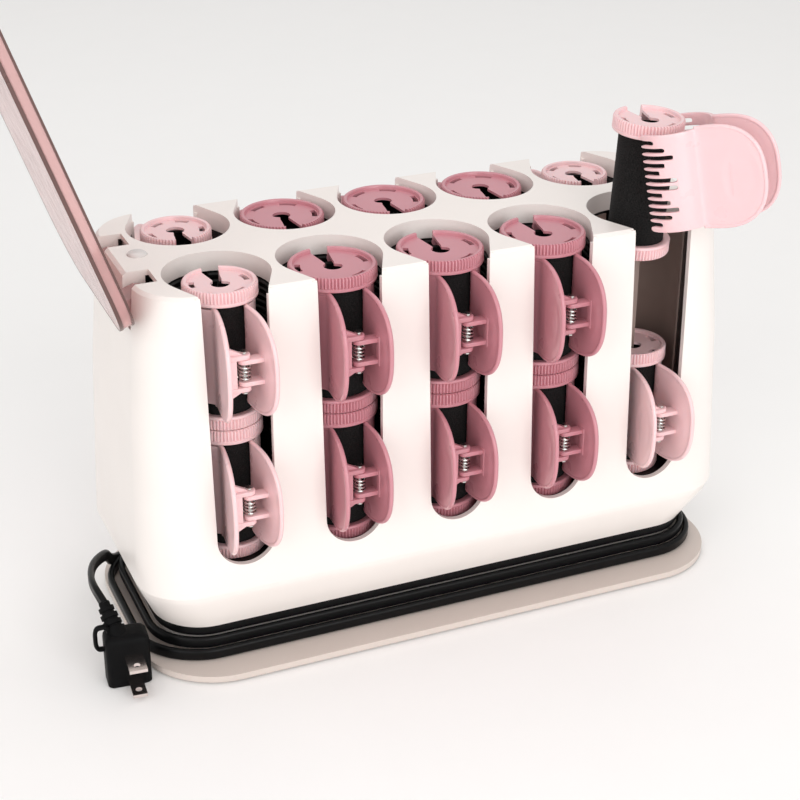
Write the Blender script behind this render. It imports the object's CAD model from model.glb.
from math import asin, cos, degrees, hypot, pi, radians, sin, sqrt

import bmesh
import bpy
import numpy as np
from mathutils import Matrix, Vector


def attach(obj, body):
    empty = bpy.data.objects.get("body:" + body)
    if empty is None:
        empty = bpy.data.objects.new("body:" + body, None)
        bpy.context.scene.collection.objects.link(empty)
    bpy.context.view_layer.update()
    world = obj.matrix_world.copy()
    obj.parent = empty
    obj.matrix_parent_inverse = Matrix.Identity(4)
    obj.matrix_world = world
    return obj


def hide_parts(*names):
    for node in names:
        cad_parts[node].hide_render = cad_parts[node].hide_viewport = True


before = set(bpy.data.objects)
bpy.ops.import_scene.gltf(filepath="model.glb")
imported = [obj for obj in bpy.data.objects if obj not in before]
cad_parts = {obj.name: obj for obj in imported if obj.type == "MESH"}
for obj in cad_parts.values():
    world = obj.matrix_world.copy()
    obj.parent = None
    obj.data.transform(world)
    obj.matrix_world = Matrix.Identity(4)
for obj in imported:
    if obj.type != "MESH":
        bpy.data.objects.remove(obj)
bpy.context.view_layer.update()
MM = 0.001

# ---------- sizes in mm, the same as in part.scad ----------
COLUMNS = (1, 2, 3, 4, 5)
SIDES = ("front", "back")
LEVELS = ("upper", "lower")
PITCH = 50
DECK_Z = 180
ROLLER_Y = 32
ROLLER_H = 63
CAP_H = 6.5
STACK_GAP = 0.3
UPPER_Z = DECK_Z - 2 - ROLLER_H
LOWER_Z = DECK_Z - 2 - 2 * ROLLER_H - STACK_GAP
SMALL = {"cap": 16.0, "sleeve": 12.7}
LARGE = {"cap": 19.25, "sleeve": 15.9}
WELL_R = 23
WELL_Y = 28.2
LINER_TOP = DECK_Z - 9.2
LINER_FLOOR = LOWER_Z - 0.3

CLIP_REACH = 41.5
JAW_T = 1.6
JAW_H = 43
PAD_R = 22
PAD_FULLNESS = 2.5
PAD_V = 10.8
PIN_U = 29.5
LUG_V = 8.7
CLIP_RISE = 2.2
GRIP_GAP = 0.4
WRAP_A = 135
PINCH_A = 24

RAISED_AT = (96, -34, DECK_Z - 17)
RAISED_LEAN = 3
RAISED_TURN = -50
RAISED_CLIP_TURN = -56
RAISED_CLIP_PITCH = -12
RAISED_CLIP_SLIDE = 20
RAISED_CLIP_RISE = 4.6
RAISED_OPEN = 12

HINGE_X = -131.5
HINGE_Z = 172.5
LID_ANGLE = 109
LID_HX = 136.5
LID_HY = 52.4
LID_CORNER = 24
LID_LOW = DECK_Z + 1.2
LID_RIM = 6.3

NECK_HX = 132
NECK_HY = 42.5
NECK_R = 20
TURN_OUT = (1.6, 4.8, 8.0, 11.4)
TURN_Z = (16.0, 11.3, 6.95, 7.0)
TURN_BULGE = (0, 0.8, 3.2)
CORD_TURNS = 3
CORD_H = 5.6
CORD_T = 2.9
CORD_EXIT_X = -96
TAIL = [
    (-134.2, 44.7, 7.2), (-137.8, 40.6, 9.4), (-140.6, 35.6, 13), (-142.8, 30, 18), (-145.2, 24, 22.6),
    (-148.6, 17.8, 25.8), (-152.2, 11.4, 28.2), (-155.4, 4.6, 30.2), (-157.8, -2.6, 32), (-159.5, -9.6, 33.6),
    (-160.6, -16.6, 35), (-160.9, -22.6, 35.7), (-160.4, -27.8, 35.2), (-159.2, -32.1, 32.9),
]
RELIEF_FROM = (-157, -42.5, 23)
RELIEF_DIR = (-0.15, 0.72, 0.68)
RELIEF_H = 14.4
PLUG_AT = (-153.6, -44.2)
PLUG_TURN = -5
LENS_AT = (-125.4, 2.8)
LENS_R = 4.35
PLUG_W = 19.4
PLUG_D = 12.5

# ---------- camera in metres, degrees and mm of lens ----------
CAMERA_EYE = (-0.2917, -0.6722, 0.45728)
CAMERA_AIM = (0.0643, 0.1619, 0)
CAMERA_ROLL = 0.3
CAMERA_LENS = 78.16
CAMERA_SENSOR = 36


def column_x(c):
    return (c - 3) * PITCH


def is_small(c):
    return c in (1, 5)


# ---------- placing ----------
def turn(angle, axis):
    return Matrix.Rotation(radians(angle), 4, axis)


def shift(x, y, z):
    return Matrix.Translation((x, y, z))


def in_metres(m):
    """A placement in mm, for a mesh that is already in metres."""
    out = m.copy()
    out.translation = m.translation * MM
    return out


def in_row(side, c, out, z):
    """A place in the front row, or the same one in the back row, at a distance out from the middle."""
    if side == "front":
        return shift(column_x(c), -out, z)
    return turn(180, "Z") @ shift(-column_x(c), -out, z)


def well_place(side, c):
    return in_row(side, c, WELL_Y, 0)


def roller_place(side, level, c):
    return in_row(side, c, ROLLER_Y, UPPER_Z if level == "upper" else LOWER_Z) @ turn(-90, "Z")


def clip_place(side, level, c):
    return roller_place(side, level, c) @ shift(0, 0, ROLLER_H / 2 + CLIP_RISE)


def raised_place():
    lean = turn(RAISED_TURN, "Z") @ turn(RAISED_LEAN, "Y") @ turn(-RAISED_TURN, "Z")
    return shift(*RAISED_AT) @ lean @ turn(-90, "Z")


def raised_clip_place():
    up = shift(0, 0, ROLLER_H / 2 + RAISED_CLIP_RISE)
    aim = turn(RAISED_CLIP_TURN, "Z") @ turn(RAISED_CLIP_PITCH, "Y")
    return shift(*RAISED_AT) @ up @ aim @ shift(RAISED_CLIP_SLIDE, 0, 0)


def about_pin(angle):
    return shift(PIN_U, 0, 0) @ turn(angle, "Z") @ shift(-PIN_U, 0, 0)


# ---------- materials ----------
def linear(rgb):
    return [((c / 255 + 0.055) / 1.055) ** 2.4 if c > 10 else c / 255 / 12.92 for c in rgb]


def new_material(name):
    mat = bpy.data.materials.new(name)
    mat.use_nodes = True
    nodes = mat.node_tree.nodes
    return mat, nodes, mat.node_tree.links, nodes["Principled BSDF"]


def noise(nodes, links, scale, detail=3.0):
    coord = nodes.new("ShaderNodeTexCoord")
    tex = nodes.new("ShaderNodeTexNoise")
    tex.inputs["Scale"].default_value = scale
    tex.inputs["Detail"].default_value = detail
    links.new(coord.outputs["Object"], tex.inputs["Vector"])
    return tex.outputs["Fac"]


def spread(nodes, links, fac, low, high):
    node = nodes.new("ShaderNodeMapRange")
    node.inputs["From Min"].default_value = 0.3
    node.inputs["From Max"].default_value = 0.7
    node.inputs["To Min"].default_value = low
    node.inputs["To Max"].default_value = high
    links.new(fac, node.inputs["Value"])
    return node.outputs["Result"]


def two_tone(nodes, links, fac, a, b):
    mix = nodes.new("ShaderNodeMix")
    mix.data_type = "RGBA"
    mix.inputs["A"].default_value = (*a, 1)
    mix.inputs["B"].default_value = (*b, 1)
    links.new(spread(nodes, links, fac, 0, 1), mix.inputs["Factor"])
    return mix.outputs["Result"]


def add_bump(nodes, links, shader, fac, depth):
    bump = nodes.new("ShaderNodeBump")
    bump.inputs["Strength"].default_value = 1
    bump.inputs["Distance"].default_value = depth * MM
    links.new(fac, bump.inputs["Height"])
    links.new(bump.outputs["Normal"], shader.inputs["Normal"])


def moulded(name, rgb, rough, tone=0.04, grain=700, depth=0.02, coat=0.0, glow=0.0, metallic=0.0, shine=0.5):
    """Moulded plastic or metal: a slow drift of tone, fine grain in the surface and uneven gloss."""
    mat, nodes, links, shader = new_material(name)
    base = linear(rgb)
    dark = [c * (1 - tone) for c in base]
    light = [min(1, c * (1 + tone)) for c in base]
    links.new(two_tone(nodes, links, noise(nodes, links, 28), dark, light), shader.inputs["Base Color"])
    links.new(spread(nodes, links, noise(nodes, links, 90), rough * 0.88, rough * 1.12), shader.inputs["Roughness"])
    add_bump(nodes, links, shader, noise(nodes, links, grain, 4), depth)
    shader.inputs["Coat Weight"].default_value = coat
    shader.inputs["Coat Roughness"].default_value = 0.12
    shader.inputs["Metallic"].default_value = metallic
    shader.inputs["Specular IOR Level"].default_value = shine
    if glow:
        shader.inputs["Subsurface Weight"].default_value = glow
        shader.inputs["Subsurface Radius"].default_value = (0.004, 0.002, 0.0015)
    return mat


def flocked(name):
    """Short black nylon flock: matt, with a grey bloom of fibre tips."""
    mat, nodes, links, shader = new_material(name)
    fibre = noise(nodes, links, 1900, 4)
    links.new(two_tone(nodes, links, fibre, (0.002, 0.002, 0.002), (0.02, 0.019, 0.019)), shader.inputs["Base Color"])
    shader.inputs["Roughness"].default_value = 0.92
    shader.inputs["Specular IOR Level"].default_value = 0.12
    shader.inputs["Sheen Weight"].default_value = 0.05
    shader.inputs["Sheen Roughness"].default_value = 0.5
    add_bump(nodes, links, shader, fibre, 0.25)
    return mat


def tinted(name, rgb):
    """Translucent rose acrylic with a slightly hazed surface."""
    mat, nodes, links, shader = new_material(name)
    base = linear(rgb)
    pale = [min(1, c * 1.06) for c in base]
    links.new(two_tone(nodes, links, noise(nodes, links, 20), base, pale), shader.inputs["Base Color"])
    links.new(spread(nodes, links, noise(nodes, links, 120), 0.1, 0.18), shader.inputs["Roughness"])
    add_bump(nodes, links, shader, noise(nodes, links, 60, 2), 0.02)
    shader.inputs["Transmission Weight"].default_value = 0.55
    shader.inputs["IOR"].default_value = 1.2
    return mat


MATERIALS = {
    "ivory": moulded("ivory_abs", (243, 236, 231), 0.36, tone=0.012, grain=900, depth=0.012, coat=0.15),
    "base": moulded("ivory_base", (213, 200, 192), 0.42, tone=0.012, grain=900, depth=0.012, coat=0.1),
    "liner": moulded("liner_black", (17, 16, 16), 0.4, shine=0.3, tone=0.2, depth=0.03),
    "brown_metal": moulded("heat_tinted_metal", (158, 138, 130), 0.34, tone=0.1, metallic=0.25, depth=0.01),
    "block": moulded("ceramic_block", (214, 207, 192), 0.7, tone=0.06, depth=0.05),
    "steel": moulded("plated_steel", (205, 203, 200), 0.22, tone=0.06, metallic=1, depth=0.008),
    "rubber": moulded("foot_rubber", (50, 48, 48), 0.75, tone=0.1, depth=0.04),
    "cord": moulded("cord_pvc", (11, 11, 12), 0.34, shine=0.16, tone=0.15, depth=0.03, grain=500),
    "plug": moulded("plug_pvc", (9, 9, 10), 0.55, shine=0.1, tone=0.12, depth=0.05, grain=900),
    "nickel": moulded("nickel", (226, 214, 210), 0.2, tone=0.05, metallic=1, depth=0.006),
    "lens": moulded("frosted_lens", (214, 209, 206), 0.12, tone=0.03, depth=0.01, coat=0.5),
    "light_pink": moulded("light_pink", (243, 206, 208), 0.3, tone=0.03, coat=0.2, glow=0.15, depth=0.01),
    "pale_pink": moulded("pale_pink", (242, 203, 206), 0.3, tone=0.02, coat=0.2, glow=0.12, depth=0.01),
    "dusty_rose": moulded("dusty_rose", (202, 137, 147), 0.3, tone=0.04, coat=0.2, glow=0.12, depth=0.01),
    "trim": moulded("dark_trim", (96, 68, 64), 0.3, tone=0.08, depth=0.01),
    "lid": tinted("rose_acrylic", (229, 190, 188)),
    "flock": flocked("black_flock"),
    "floor": moulded("pale_floor", (250, 249, 248), 0.65, tone=0.004, grain=60, depth=0.02),
}


def paint(obj, key):
    obj.data.materials.clear()
    obj.data.materials.append(MATERIALS[key])
    return obj


# ---------- meshes ----------
def mesh_from(name, verts, faces):
    """A mesh from points in mm."""
    mesh = bpy.data.meshes.new(name)
    mesh.from_pydata([tuple(float(c) * MM for c in v) for v in verts], [], [tuple(f) for f in faces])
    mesh.validate()
    bm = bmesh.new()
    bm.from_mesh(mesh)
    bmesh.ops.recalc_face_normals(bm, faces=bm.faces)
    bm.to_mesh(mesh)
    bm.free()
    return mesh


def add(name, mesh, place=None):
    obj = bpy.data.objects.new(name, mesh)
    bpy.context.scene.collection.objects.link(obj)
    if place is not None:
        obj.matrix_world = in_metres(place)
    return obj


def smooth(mesh, angle=35):
    for p in mesh.polygons:
        p.use_smooth = True
    mesh.set_sharp_from_angle(angle=radians(angle))
    return mesh


def joined(name, parts):
    """One mesh from several, each given as (mesh, placement in mm)."""
    bm = bmesh.new()
    for mesh, place in parts:
        start = len(bm.verts)
        bm.from_mesh(mesh)
        bm.verts.ensure_lookup_table()
        if place is not None:
            moved = bm.verts[start:]
            bmesh.ops.transform(bm, matrix=in_metres(place), verts=moved)
            if place.determinant() < 0:
                faces = {f for v in moved for f in v.link_faces}
                bmesh.ops.reverse_faces(bm, faces=list(faces))
    out = bpy.data.meshes.new(name)
    bm.to_mesh(out)
    bm.free()
    return out


def lathe(name, rows, radius_at, segments, start=0.0, end=360.0, closed_ends=True):
    """A turned solid. rows are (radius, z) of a closed profile; radius_at(r, row, k) may change a radius."""
    full = abs(end - start) >= 360
    count = segments if full else segments + 1
    verts, faces = [], []
    for k in range(count):
        a = radians(start + (end - start) * k / segments)
        for i, (r, z) in enumerate(rows):
            rr = radius_at(r, i, k)
            verts.append((rr * cos(a), rr * sin(a), z))
    n = len(rows)
    for k in range(segments):
        k2 = (k + 1) % count
        for i in range(n):
            j = (i + 1) % n
            faces.append((k * n + i, k2 * n + i, k2 * n + j, k * n + j))
    if not full and closed_ends:
        faces.append(tuple(range(n)))
        faces.append(tuple(segments * n + i for i in reversed(range(n))))
    return mesh_from(name, verts, faces)


def plain_radius(r, row, k):
    return r


def prism(name, outline, z0, z1):
    n = len(outline)
    verts = [(x, y, z0) for x, y in outline] + [(x, y, z1) for x, y in outline]
    faces = [tuple(range(n)), tuple(n + i for i in reversed(range(n)))]
    faces += [(i, (i + 1) % n, n + (i + 1) % n, n + i) for i in range(n)]
    return mesh_from(name, verts, faces)


def box_mesh(x0, x1, y0, y1, z0, z1, bevel=0.25):
    mesh = prism("box", [(x0, y0), (x1, y0), (x1, y1), (x0, y1)], z0, z1)
    return bevelled(mesh, bevel)


def bevelled(mesh, width, angle=30, segments=2):
    bm = bmesh.new()
    bm.from_mesh(mesh)
    sharp = [e for e in bm.edges if len(e.link_faces) == 2 and e.calc_face_angle(0) > radians(angle)]
    bmesh.ops.bevel(bm, geom=sharp, offset=width * MM, segments=segments, profile=0.5,
                    affect="EDGES", clamp_overlap=True)
    bm.to_mesh(mesh)
    bm.free()
    return mesh


def cut(mesh, cutters):
    """mesh less each cutter, by exact booleans."""
    obj = add("cut_tmp", mesh)
    tools = [add("cutter_tmp", c) for c in cutters]
    for tool in tools:
        mod = obj.modifiers.new("cut", "BOOLEAN")
        mod.operation = "DIFFERENCE"
        mod.solver = "EXACT"
        mod.object = tool
    out = applied(obj)
    for tool in tools:
        bpy.data.objects.remove(tool)
    return out


def applied(obj):
    """The object's mesh with its modifiers applied; the object is removed."""
    graph = bpy.context.evaluated_depsgraph_get()
    mesh = bpy.data.meshes.new_from_object(obj.evaluated_get(graph))
    bpy.data.objects.remove(obj)
    return mesh


def skinned(name, verts, n, closed_ends=True):
    """A mesh over rings of n points each, which follow one another in verts."""
    rings = len(verts) // n
    faces = []
    for i in range(rings - 1):
        for k in range(n):
            k2 = (k + 1) % n
            faces.append((i * n + k, (i + 1) * n + k, (i + 1) * n + k2, i * n + k2))
    if closed_ends:
        faces.append(tuple(range(n)))
        faces.append(tuple((rings - 1) * n + k for k in reversed(range(n))))
    return mesh_from(name, verts, faces)


def tube(name, line, section, up_at=None, closed_ends=True):
    """Sweeps a closed section of (side, up) points in mm along a line of points in mm."""
    pts = [Vector(p) for p in line]
    verts = []
    side_before = None
    for i, p in enumerate(pts):
        d = (pts[min(i + 1, len(pts) - 1)] - pts[max(i - 1, 0)]).normalized()
        up = up_at(i) if up_at else None
        if up is None:
            ref = side_before if side_before is not None else d.orthogonal()
            side = (ref - d * ref.dot(d)).normalized()
            side_before = side
            up = side.cross(d)
        else:
            side = d.cross(up).normalized()
            up = side.cross(d)
        verts += [p + side * a + up * b for a, b in section]
    return skinned(name, verts, len(section), closed_ends)


def ring_section(radius, sides=10):
    return [(radius * cos(2 * pi * k / sides), radius * sin(2 * pi * k / sides)) for k in range(sides)]


def hand_over(obj, body, slot, *nodes):
    """The piece rides on its body, names its slot and stands for its CAD nodes."""
    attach(obj, body)
    if nodes:
        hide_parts(*nodes)
    return obj


# ---------- camera and cord first ----------
def add_camera():
    cam = bpy.data.cameras.new("camera")
    cam.sensor_width = CAMERA_SENSOR
    cam.lens = CAMERA_LENS
    obj = bpy.data.objects.new("camera", cam)
    bpy.context.scene.collection.objects.link(obj)
    eye = Vector(CAMERA_EYE)
    look = (Vector(CAMERA_AIM) - eye).to_track_quat("-Z", "Y").to_matrix().to_4x4()
    obj.matrix_world = Matrix.Translation(eye) @ look @ turn(CAMERA_ROLL, "Z")
    bpy.context.scene.camera = obj


def ease(t):
    return t * t * (3 - 2 * t)


def rounded_route(out, bulge=0):
    """One turn round the neck at a distance from it, from the back left corner to the left, front, right and back.
    It stands off by the bulge at the left end."""
    hx, hy, r = NECK_HX + out, NECK_HY + out, NECK_R + out
    cx, cy = hx - r, hy - r
    pts = []
    for k, (x, y, a0) in enumerate([(-cx, cy, 90), (-cx, -cy, 180), (cx, -cy, 270), (cx, cy, 360)]):
        for i in range(9):
            a = radians(a0 + 90 * i / 8)
            pts.append((x + r * cos(a), y + r * sin(a)))
        straight = 6 if k in (0, 2) else 24
        nxt = [(-hx, -cy), (cx, -hy), (hx, cy), (-cx, hy)][k]
        here = pts[-1]
        for i in range(1, straight):
            f = i / straight
            pts.append((here[0] + (nxt[0] - here[0]) * f, here[1] + (nxt[1] - here[1]) * f))
    return [(x - bulge * max(0, (-x - cx) / r) ** 2, y) for x, y in pts]


def cord_route():
    """The cord's centreline: out of the neck at the back, three turns, then the tail to the plug."""
    pts = [(CORD_EXIT_X - dx, NECK_HY + TURN_OUT[0], TURN_Z[0]) for dx in (0, 5, 10)]
    for k in range(CORD_TURNS):
        here = rounded_route(TURN_OUT[k], TURN_BULGE[k])
        after = rounded_route(TURN_OUT[k + 1])
        first_back = len(here) - 23
        for i, (x, y) in enumerate(here):
            f = ease(min(1, max(0, (i - first_back - 3) / 18)))
            ax, ay = after[i]
            z = TURN_Z[k] + (TURN_Z[k + 1] - TURN_Z[k]) * f
            pts.append((x + (ax - x) * f, y + (ay - y) * f, z))
    r = NECK_R + TURN_OUT[CORD_TURNS]
    cx, cy = NECK_HX - NECK_R, NECK_HY - NECK_R
    for a in (90, 102, 114, 125):
        pts.append((-cx + r * cos(radians(a)), cy + r * sin(radians(a)), TURN_Z[CORD_TURNS]))
    return [Vector(p) for p in pts + TAIL]


def spaced_out(pts, step):
    """A smooth line through the points, with a point every step."""
    pts = [p for i, p in enumerate(pts) if i == 0 or (p - pts[i - 1]).length > 0.5]
    dense = []
    for i in range(len(pts) - 1):
        p0, p1, p2 = pts[max(i - 1, 0)], pts[i], pts[i + 1]
        p3 = pts[min(i + 2, len(pts) - 1)]
        for j in range(8):
            t = j / 8
            dense.append(0.5 * (2 * p1 + (p2 - p0) * t + (2 * p0 - 5 * p1 + 4 * p2 - p3) * t * t
                                + (3 * p1 - p0 - 3 * p2 + p3) * t ** 3))
    dense.append(pts[-1])
    out, gone = [dense[0]], 0.0
    for a, b in zip(dense, dense[1:]):
        gone += (b - a).length
        if gone >= step:
            out.append(b)
            gone = 0.0
    if (out[-1] - dense[-1]).length < step / 2:
        out[-1] = dense[-1]
    else:
        out.append(dense[-1])
    return out


def cord_section():
    """A flat twin cord on edge: two round cores with a groove between them on each side."""
    out = []
    lobe = CORD_T / 2
    apart = CORD_H / 2 - lobe
    for a in range(-8, 189, 14):
        out.append((lobe * cos(radians(a)), apart + lobe * sin(radians(a))))
    for a in range(172, 369, 14):
        out.append((lobe * cos(radians(a)), -apart + lobe * sin(radians(a))))
    return out


def add_cord():
    line = spaced_out(cord_route(), 3.0)
    length = sum((b - a).length for a, b in zip(line, line[1:]))
    obj = add("cord", smooth(tube("cord", line, cord_section(), lambda i: Vector((0, 0, 1))), 60))
    hand_over(paint(obj, "cord"), "case", "cord_black", "cord_winding", "cord_tail")
    return obj, line, length


def frame_along(direction, at):
    """A placement whose +Z runs along the direction."""
    d = Vector(direction).normalized()
    return shift(*at) @ d.to_track_quat("Z", "Y").to_matrix().to_4x4()


def add_exit_relief():
    """The tapered sleeve on the cord where it leaves the back of the neck."""
    rings, n = 16, 24
    verts = []
    for i in range(rings):
        f = i / (rings - 1)
        x = CORD_EXIT_X + 7 - 26 * f
        groove = 0.35 if i % 3 == 2 and 2 < i < 14 else 0
        half_y = 2.6 - 1.0 * f - groove
        half_z = 3.1 - 0.62 * f - groove * 0.6
        for k in range(n):
            a = 2 * pi * k / n
            verts.append((x, NECK_HY + TURN_OUT[0] + half_y * cos(a), TURN_Z[0] - 0.55 + 0.55 * f + half_z * sin(a)))
    obj = add("cord_exit_relief", smooth(skinned("cord_exit_relief", verts, n), 40))
    return hand_over(paint(obj, "plug"), "case", "cord_black")


def add_plug():
    """The moulded plug: a body that narrows at the top, a ribbed relief and a keeper loop."""
    place = shift(*PLUG_AT, 0) @ turn(PLUG_TURN, "Z")
    rows = [
        (0.0, -0.6, 0.0, 0.0), (0.6, 0.0, 0.0, 0.0), (13, 0.0, 0.0, 0.0), (21.5, 0.0, 0.0, 0.0),
        (23.2, -0.3, 0.0, 0.1), (24.2, -1.0, -0.2, 0.4), (24.9, -2.2, -0.5, 0.8), (25.3, -3.8, -0.8, 1.2),
    ]
    verts = []
    steps = 8
    corner = 2.4
    for z, grow, left, back in rows:
        hx, hy = PLUG_W / 2 + grow, PLUG_D / 2 + min(0, grow * 0.7)
        for cx, cy, a0 in ((1, 1, 0), (-1, 1, 90), (-1, -1, 180), (1, -1, 270)):
            for i in range(steps):
                a = radians(a0 + 90 * i / (steps - 1))
                x = cx * (hx - corner) + corner * cos(a)
                y = cy * (hy - corner) + corner * sin(a)
                verts.append((x + left, y + back * 0.5, z))
    body = skinned("plug_shell", verts, 4 * steps)
    relief_rows = [(0, -3.5), (4.9, -3.5), (4.9, 0.6)]
    for i in range(4):
        z = 1.2 + i * 3.3
        r = 4.7 - 0.42 * i
        relief_rows += [(r, z), (r, z + 1.9), (r - 1.0, z + 2.1), (r - 1.0, z + 3.1)]
    relief_rows += [(2.5, RELIEF_H + 0.4), (2.3, RELIEF_H + 1.2), (0, RELIEF_H + 1.2)]
    relief = lathe("plug_relief", relief_rows, plain_radius, 40)
    loop = []
    for i in range(40):
        a = 2 * pi * i / 40
        x = 3.0 * (1 if cos(a) > 0 else -1) * abs(cos(a)) ** 0.6
        z = 5.6 * (1 if sin(a) > 0 else -1) * abs(sin(a)) ** 0.6
        loop.append((-PLUG_W / 2 - 0.4 + x, 1.0, 22.6 + z))
    loop.append(loop[0])
    flat_ring = [(a, b * 1.6) for a, b in ring_section(1.0, 8)]
    keeper = tube("plug_keeper", loop, flat_ring, lambda i: Vector((0, 1, 0)), False)
    whole = joined("plug", [(body, place), (relief, frame_along(RELIEF_DIR, RELIEF_FROM)), (keeper, place)])
    obj = add("plug", smooth(whole, 38))
    return hand_over(paint(obj, "plug"), "case", "cord_black", "plug_body")


# ---------- case ----------
def softened(node, key, slot, body, width, angle=28):
    """A copy of a CAD node with its flat faces merged and its edges rounded."""
    bm = bmesh.new()
    bm.from_mesh(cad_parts[node].data)
    bmesh.ops.remove_doubles(bm, verts=bm.verts, dist=2e-6)
    bmesh.ops.dissolve_limit(bm, angle_limit=radians(0.4), verts=bm.verts, edges=bm.edges)
    sharp = [e for e in bm.edges if len(e.link_faces) == 2 and e.calc_face_angle(0) > radians(angle)]
    bmesh.ops.bevel(bm, geom=sharp, offset=width * MM, segments=2, profile=0.6, affect="EDGES", clamp_overlap=True)
    mesh = bpy.data.meshes.new(node + "_soft")
    bm.to_mesh(mesh)
    bm.free()
    obj = add(node + "_soft", smooth(mesh, 40))
    normals = obj.modifiers.new("normals", "WEIGHTED_NORMAL")
    normals.keep_sharp = True
    return hand_over(paint(obj, key), body, slot, node)


def add_lens():
    """The frosted dome over the pilot lamp."""
    high, n = 1.7, 8
    rows = [(0.01, DECK_Z - 1), (LENS_R, DECK_Z - 1)]
    rows += [(max(0.01, LENS_R * cos(pi / 2 * i / n)), DECK_Z + high * sin(pi / 2 * i / n)) for i in range(n + 1)]
    obj = add("lens_dome", smooth(lathe("lens_dome", rows, plain_radius, 48), 50), shift(*LENS_AT, 0))
    return hand_over(paint(obj, "lens"), "case", "lens_clear", "indicator_lens")


def add_liners():
    """Horizontal ribs on the inside of each well, and a metal heat shield in the well whose roller is out."""
    rib_rows = []
    z = LINER_FLOOR + 1.5
    while z < LINER_TOP - 3:
        rib_rows += [(WELL_R - 0.05, z), (WELL_R - 0.6, z + 0.7), (WELL_R - 0.6, z + 1.7), (WELL_R - 0.05, z + 2.4)]
        z += 3.1
    rib_rows += [(WELL_R + 0.5, z), (WELL_R + 0.5, LINER_FLOOR + 1)]
    shield_rows = [
        (WELL_R - 0.9, LINER_FLOOR + 1), (WELL_R - 0.9, LINER_TOP - 1),
        (WELL_R - 0.1, LINER_TOP - 1), (WELL_R - 0.1, LINER_FLOOR + 1),
    ]
    halves = ((-21, 82), (98, 201))
    ribs = joined("ribs", [(lathe("rib", rib_rows, plain_radius, 30, a, b), None) for a, b in halves])
    shield = joined("shield", [(lathe("sh", shield_rows, plain_radius, 40, a, b), None) for a, b in halves])
    smooth(ribs, 30)
    smooth(shield, 30)
    ribs.materials.append(MATERIALS["liner"])
    shield.materials.append(MATERIALS["brown_metal"])
    for side in SIDES:
        for c in COLUMNS:
            place = well_place(side, c)
            bare = side == "front" and c == 5
            obj = add(f"well_{'shield' if bare else 'ribs'}_{side}_{c}", shield if bare else ribs, place)
            hand_over(obj, "case", "heater_metal" if bare else "liner_black")


# ---------- lid ----------
def outline(hx, hy, r, n=10):
    pts = []
    for cx, cy, a0 in ((hx - r, hy - r, 0), (-hx + r, hy - r, 90), (-hx + r, -hy + r, 180), (hx - r, -hy + r, 270)):
        for i in range(n + 1):
            a = radians(a0 + 90 * i / n)
            pts.append((cx + r * cos(a), cy + r * sin(a)))
    return pts


def add_lid_trim():
    """Dark strips round the lid's rim, at its free edge and where it meets the panel."""
    opened = shift(HINGE_X, 0, HINGE_Z) @ turn(-LID_ANGLE, "Y") @ shift(-HINGE_X, 0, -HINGE_Z)
    parts = []
    for z, high, name in ((LID_LOW + 0.45, 0.5, "free"), (LID_LOW + LID_RIM - 0.75, 0.8, "panel")):
        pts = outline(LID_HX + 0.02, LID_HY + 0.02, LID_CORNER)
        line = [(x, y, z) for x, y in pts] + [(*pts[0], z)]
        section = [(-0.35, -high), (0.3, -high), (0.3, high), (-0.35, high)]
        parts.append((tube("trim", line, section, lambda i: Vector((0, 0, 1)), False), opened))
    obj = add("lid_trim", smooth(joined("lid_trim", parts), 30))
    return hand_over(paint(obj, "trim"), "lid", "lid_rose")


# ---------- rollers ----------
RIBS = {SMALL["cap"]: 66, LARGE["cap"]: 80}
VALLEY = 0.9
SLOT_AT = (30, -30, 100, -100)
SLOT_IN = 4.3
SLOT_HALF_W = 1.2
SLOT_HALF_A = 15
SLEEVE_T = 2.4
SLEEVE_TUCK = 0.2
SLIT_HALF = 2.8


def cap_mesh(r_cap):
    """An end cap: a knurled band between two lips, a recessed face, four arc slots and a slit with a hooked hole."""
    rows = [
        (0.01, 3.7), (r_cap - 3.2, 3.7), (r_cap - 3.2, 0.2), (r_cap - 2.8, 0.0), (r_cap - 0.5, 0.0),
        (r_cap - 0.1, 0.25), (r_cap, 0.6), (r_cap, 1.2), (r_cap - 0.35, 1.55), (r_cap - 0.1, 1.8),
        (r_cap - 0.1, 5.5), (r_cap - 0.4, 6.1), (r_cap - 0.9, 6.45), (r_cap - 1.7, 6.5), (r_cap - 2.15, 6.3),
        (r_cap - 2.35, 5.7), (r_cap - 2.45, 4.9), (0.01, 4.9),
    ]
    knurled = (9, 10, 11)
    ribs = RIBS[r_cap]

    def radius_at(r, row, k):
        return r - VALLEY if row in knurled and k % 3 == 0 else r

    body = lathe("cap", rows, radius_at, ribs * 3)
    mouth, inner, hole = 4.4, 2.1, 4.1
    slit = [(-r_cap - 2, -mouth), (-3.6, -inner)]
    slit += [(0.7 + hole * cos(radians(a)), hole * sin(radians(a))) for a in range(-148, 96, 12)]
    slit += [(-0.6, 3.2), (-1.5, 1.7), (-2.2, 1.5), (-3.6, inner), (-8, 2.6), (-r_cap - 2, mouth + 0.4)]
    cutters = [prism("slit", slit, -1, 9)]
    r_slot = r_cap - SLOT_IN
    for mid in SLOT_AT:
        arc = [(r_slot + SLOT_HALF_W, a) for a in range(mid - SLOT_HALF_A, mid + SLOT_HALF_A + 1, 5)]
        arc += [(r_slot - SLOT_HALF_W, a) for a in range(mid + SLOT_HALF_A, mid - SLOT_HALF_A - 1, -5)]
        cutters.append(prism("slot", [(r * cos(radians(a)), r * sin(radians(a))) for r, a in arc], -1, 9))
    return cut(body, cutters)


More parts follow.
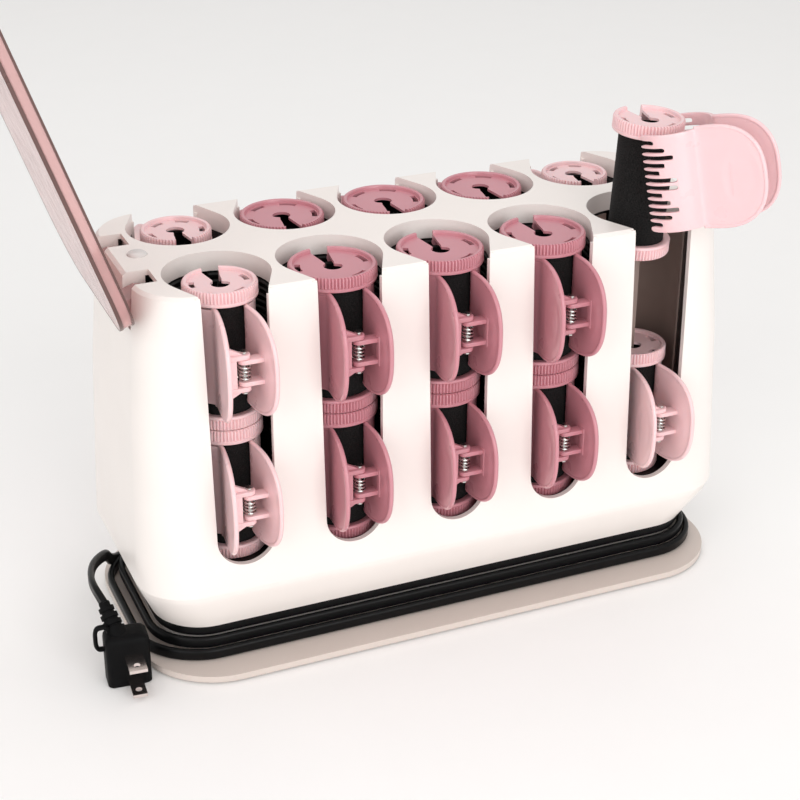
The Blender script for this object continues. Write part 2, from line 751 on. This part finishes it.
def sleeve_mesh(r_sleeve):
    """The flocked sleeve between the caps, open along its slit."""
    gap = degrees(asin(SLIT_HALF / r_sleeve))
    low, high = CAP_H - SLEEVE_TUCK, ROLLER_H - CAP_H + SLEEVE_TUCK
    rows = [(r_sleeve - SLEEVE_T, low), (r_sleeve, low)]
    rows += [(r_sleeve, low + (high - low) * i / 16) for i in range(1, 16)]
    rows += [(r_sleeve, high), (r_sleeve - SLEEVE_T, high)]
    return smooth(lathe("sleeve", rows, plain_radius, 72, 180 + gap, 540 - gap), 40)


def roller_meshes(size, key):
    """The two caps of a roller as one mesh, and its sleeve, from its lower end up."""
    cap = cap_mesh(size["cap"])
    flip = shift(0, 0, CAP_H) @ Matrix.Diagonal((1, 1, -1, 1))
    caps = joined("caps", [(cap, shift(0, 0, ROLLER_H - CAP_H)), (cap, flip)])
    smooth(caps, 30)
    caps.materials.clear()
    caps.materials.append(MATERIALS[key])
    sleeve = sleeve_mesh(size["sleeve"])
    sleeve.materials.append(MATERIALS["flock"])
    return caps, sleeve


# ---------- clips ----------
TINES = 13
GAP_ENDS = (-3.8, 0.7, 4.2, 0.9, -2.1, 4.5, 4.6, -2.1, 0.5, 4.1, 0.7, -3.7)
TINE_GAP = 2.1
GAP_END_L = 1.5
WEB_HALF = 0.15
PAD_START = 10
PAD_EASE = 9
PAD_END_L = 12
DENT_U, DENT_Z = 31, -1
DENT_RU, DENT_RZ = 9, 14
DENT_DEPTH = 0.3
RIM_START = 12
RIM_R = 1.05


def jaw_path(r_sleeve):
    """The middle of a jaw's wall in plan, from the tine tips round the roller and out to the pad."""
    r = r_sleeve + GRIP_GAP + JAW_T / 2
    root = PINCH_A + 3
    pts = [(r * cos(radians(a)), r * sin(radians(a))) for a in np.linspace(WRAP_A, root, 50)]
    here, end = pts[-1], (CLIP_REACH, PAD_V - JAW_T / 2)
    for f in np.linspace(0.02, 1, 40):
        pts.append((here[0] + (end[0] - here[0]) * f, here[1] + (end[1] - here[1]) * f))
    fine = np.array(pts)
    for _ in range(16):
        fine[1:-1] = fine[1:-1] * 0.5 + (fine[:-2] + fine[2:]) * 0.25
    steps = np.r_[0, np.cumsum(np.hypot(*np.diff(fine, axis=0).T))]
    crowded = steps[-1] - PAD_END_L * (1 - np.sin(np.linspace(0.06, 1, 18) * pi / 2))
    at = np.r_[0, 0.5, 1.2, np.linspace(2.4, steps[-1] - PAD_END_L, 64), crowded]
    return np.c_[np.interp(at, steps, fine[:, 0]), np.interp(at, steps, fine[:, 1])]


def half_height(u):
    """Half the height of a jaw: a straight band, then a pad with a full, rounded outline."""
    across = 1 - max(0.0, (u - (CLIP_REACH - PAD_R)) / PAD_R) ** PAD_FULLNESS
    edge = PAD_R * max(across, 0.0) ** (1 / PAD_FULLNESS)
    return JAW_H / 2 + (edge - JAW_H / 2) * ease(min(1, max(0, (u - PAD_START) / PAD_EASE)))


def gap_half(gap, u):
    """Half the width of the gap between two tines, drawn in to a round end."""
    near = min(1, max(0, (u - (GAP_ENDS[gap] - GAP_END_L)) / GAP_END_L))
    return max(WEB_HALF, TINE_GAP / 2 * sqrt(1 - near * near))


def tine_levels(u):
    """The bottom, middle and top of each tine at a place along the jaw."""
    step = JAW_H / TINES
    levels = []
    for i in range(TINES):
        low = i * step - JAW_H / 2 + (gap_half(i - 1, u) if i > 0 else 0)
        high = (i + 1) * step - JAW_H / 2 - (gap_half(i, u) if i < TINES - 1 else 0)
        levels.append((low, (low + high) / 2, high))
    return levels


def jaw_mesh(r_sleeve):
    """One jaw of a clip: a bent sheet with tines at one end and a dished, beaded pad at the other."""
    path = jaw_path(r_sleeve)
    verts, faces = [], []
    wide = 3 * TINES
    for i, (u, v) in enumerate(path):
        d = path[min(i + 1, len(path) - 1)] - path[max(i - 1, 0)]
        normal = np.array([-d[1], d[0]]) / hypot(*d)
        h = half_height(u) if u > 8 else JAW_H / 2
        blunt = (0.3, 0.72, 0.93)[i] if i < 3 else 1.0
        for low, mid, high in tine_levels(u):
            for z in (mid + (low - mid) * blunt, mid, mid + (high - mid) * blunt):
                z = z * h / (JAW_H / 2)
                inside = ((u - DENT_U) / DENT_RU) ** 2 + ((z - DENT_Z) / DENT_RZ) ** 2
                dent = DENT_DEPTH * (1 - ease(min(1, max(0, (inside - 0.3) / 0.7))))
                verts.append((u - normal[0] * dent, v - normal[1] * dent, z))
    for i in range(len(path) - 1):
        for k in range(wide - 1):
            gap = k // 3 if k % 3 == 2 else None
            if gap is not None and path[i + 1][0] < GAP_ENDS[gap]:
                continue
            faces.append((i * wide + k, (i + 1) * wide + k, (i + 1) * wide + k + 1, i * wide + k + 1))
    obj = add("jaw_tmp", mesh_from("jaw_sheet", verts, faces))
    solid = obj.modifiers.new("solid", "SOLIDIFY")
    solid.thickness = JAW_T * MM
    solid.offset = 0
    solid.use_even_offset = True
    sheet = bevelled(applied(obj), 0.3, 50)
    rim = []
    for sign in (1, -1):
        edge = [(u, v, sign * half_height(u)) for u, v in path if u > RIM_START]
        rim += edge if sign > 0 else edge[::-1]
    rim = [Vector(p) for i, p in enumerate(rim) if i == 0 or (Vector(p) - Vector(rim[i - 1])).length > 0.3]
    bead = tube("rim", rim, ring_section(RIM_R, 10))
    return joined("jaw", [(sheet, None), (bead, None)])


def arm(z0, z1):
    """A lug: from the pad's wall in to the hinge pin, with a round end."""
    pts = [(PIN_U + 2.6 * cos(radians(a)), 2.6 * sin(radians(a))) for a in range(180, 361, 15)]
    pts += [(PIN_U + 2.6, LUG_V), (PIN_U - 2.6, LUG_V)]
    return bevelled(prism("arm", pts, z0, z1), 0.3)


def gusset(z, direction):
    """A sloping web that stiffens a lug against the pad."""
    pts = [(LUG_V, 0), (LUG_V, 4.2 * direction), (7.0, 3.4 * direction), (1.0, 0.2 * direction), (1.0, 0)]
    flat = prism("gusset", [(y, dz + z) for y, dz in pts], -1.1, 1.1)
    to_side = Matrix(((0, 0, 1, PIN_U), (1, 0, 0, 0), (0, 1, 0, 0), (0, 0, 0, 1)))
    return joined("gusset", [(bevelled(flat, 0.2), to_side)])


def inner_bracket():
    parts = [arm(3.9, 5.9), arm(-5.9, -3.9), box_mesh(PIN_U - 3.2, PIN_U + 3.6, 7.8, LUG_V, -6.8, 6.8)]
    return joined("inner_bracket", [(p, None) for p in parts])


def outer_bracket():
    parts = [arm(6.2, 8.2), arm(-8.2, -6.2), box_mesh(PIN_U - 3.2, PIN_U + 3.2, 7.8, LUG_V, -9.4, 9.4)]
    parts += [gusset(8.2, 1), gusset(-8.2, -1), box_mesh(PIN_U - 1.4, PIN_U + 2.2, 3.7, LUG_V, -6.6, 6.6)]
    return joined("outer_bracket", [(p, None) for p in parts])


MIRROR_Y = Matrix.Diagonal((1, -1, 1, 1))


def spring_mesh():
    """The torsion spring on its pin: four coils with a leg against each jaw."""
    turns, per_turn, r, high = 4, 20, 2.4, 3.2
    line = [(PIN_U - r, -8.4, -high), (PIN_U - r, -3, -high)]
    for i in range(turns * per_turn + 1):
        a = pi - 2 * pi * i / per_turn
        line.append((PIN_U + r * cos(a), r * sin(a), high * (2 * i / (turns * per_turn) - 1)))
    line += [(PIN_U - r, 3, high), (PIN_U - r, 8.4, high)]
    coil = tube("coil", line, ring_section(0.42, 8))
    pin_rows = [(0.01, -9.4), (1.7, -9.4), (1.7, -8.8), (1.1, -8.6), (1.1, 8.6), (1.7, 8.8), (1.7, 9.4), (0.01, 9.4)]
    pin = lathe("pin", pin_rows, plain_radius, 24)
    out = joined("spring", [(coil, None), (pin, shift(PIN_U, 0, 0))])
    smooth(out, 40)
    out.materials.append(MATERIALS["steel"])
    return out


def coloured(mesh, key):
    out = mesh.copy()
    out.materials.clear()
    out.materials.append(MATERIALS[key])
    return out


def add_rollers_and_clips():
    small_caps, small_sleeve = roller_meshes(SMALL, "light_pink")
    large_caps, large_sleeve = roller_meshes(LARGE, "dusty_rose")
    inner, outer = inner_bracket(), outer_bracket()
    jaws = {}
    for small, size in ((True, SMALL), (False, LARGE)):
        jaw = jaw_mesh(size["sleeve"])
        pair = joined("pair", [(jaw, None), (inner, None), (jaw, MIRROR_Y), (outer, MIRROR_Y)])
        jaws[small] = (jaw, coloured(smooth(pair, 38), "light_pink" if small else "dusty_rose"))
    spring = spring_mesh()
    for side in SIDES:
        for level in LEVELS:
            for c in COLUMNS:
                tag = f"{side}_{level}_{c}"
                body = "roller_" + tag
                small = is_small(c)
                shade = "light_pink" if small else "dusty_rose"
                raised = tag == "front_upper_5"
                place = raised_place() if raised else roller_place(side, level, c)
                caps = add("caps_" + tag, small_caps if small else large_caps, place)
                hand_over(caps, body, "cap_" + shade, body)
                sleeve = add("sleeve_" + tag, small_sleeve if small else large_sleeve, place)
                hand_over(sleeve, body, "liner_black")
                if raised:
                    continue
                place = clip_place(side, level, c)
                clip = add("jaws_" + tag, jaws[small][1], place)
                hand_over(clip, body, "clip_" + shade, "clip_" + tag)
                steel = add("spring_" + tag, spring, place)
                hand_over(steel, body, "steel")
    jaw = jaws[True][0]
    front = joined("front", [(jaw, MIRROR_Y), (outer, MIRROR_Y)])
    back = joined("back", [(jaw, None), (inner, None)])
    for name, mesh, angle in (("front", front, RAISED_OPEN), ("back", back, -RAISED_OPEN)):
        node = f"raised_clip_{name}_jaw"
        obj = add(node + "_shape", coloured(smooth(mesh, 38), "pale_pink"), raised_clip_place() @ about_pin(angle))
        hand_over(obj, node, "clip_pale_pink", node)
    steel = add("raised_spring", spring, raised_clip_place())
    hand_over(steel, "roller_front_upper_5", "steel", "raised_clip_pin", "raised_clip_spring")


# ---------- stage ----------
FLOOR_HALF = 6000
WORLD_COLOUR = (1, 0.99, 0.98, 1)
WORLD_STRENGTH = 0.68
# name, place and target in metres, width in metres, power in watts
LAMPS = (
    ("key", (0.2, -1.8, 0.8), (0, 0, 0.08), 1.2, 14.5),
    ("fill", (-1.3, -0.9, 0.9), (0, 0, 0.1), 1.2, 7),
    ("top", (0.1, 0.4, 1.6), (0, 0, 0.1), 1.4, 5),
)


def add_stage():
    """A pale floor, an even sky and three soft lamps."""
    corners = [(x * FLOOR_HALF, y * FLOOR_HALF, 0) for x, y in ((-1, -1), (1, -1), (1, 1), (-1, 1))]
    floor = add("floor", mesh_from("floor", corners, [(0, 1, 2, 3)]))
    paint(floor, "floor")
    world = bpy.data.worlds.new("studio")
    bpy.context.scene.world = world
    world.use_nodes = True
    background = world.node_tree.nodes["Background"]
    background.inputs["Color"].default_value = WORLD_COLOUR
    background.inputs["Strength"].default_value = WORLD_STRENGTH
    for name, at, aim, size, power in LAMPS:
        lamp = bpy.data.lights.new(name, "AREA")
        lamp.size = size
        lamp.energy = power
        obj = bpy.data.objects.new(name, lamp)
        bpy.context.scene.collection.objects.link(obj)
        obj.location = at
        obj.rotation_euler = (Vector(aim) - Vector(at)).to_track_quat("-Z", "Y").to_euler()
    bpy.context.scene.view_settings.view_transform = "Standard"


# ---------- build ----------
KEPT_NODES = {
    "plug_blades": "nickel", "base_feet": "rubber", "base_screws": "steel", "heat_plates": "brown_metal",
    "heating_elements": "block", "thermostat": "steel", "hinge_pins": "steel",
    "cord_grommet": "plug", "well_liner": "liner",
}

add_camera()
cord, cord_line, cord_length = add_cord()
relief = add_exit_relief()
plug = add_plug()
for node, key in KEPT_NODES.items():
    paint(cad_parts[node], key)
    smooth(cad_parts[node].data, 35)

softened("upper_case", "ivory", "ivory_case", "case", 0.5)
softened("lower_skirt", "ivory", "ivory_case", "case", 0.35)
softened("base_plate", "base", "ivory_case", "case", 0.9)
softened("lid", "lid", "lid_rose", "lid", 0.35)
add_lid_trim()
add_lens()
add_liners()
add_rollers_and_clips()
add_stage()
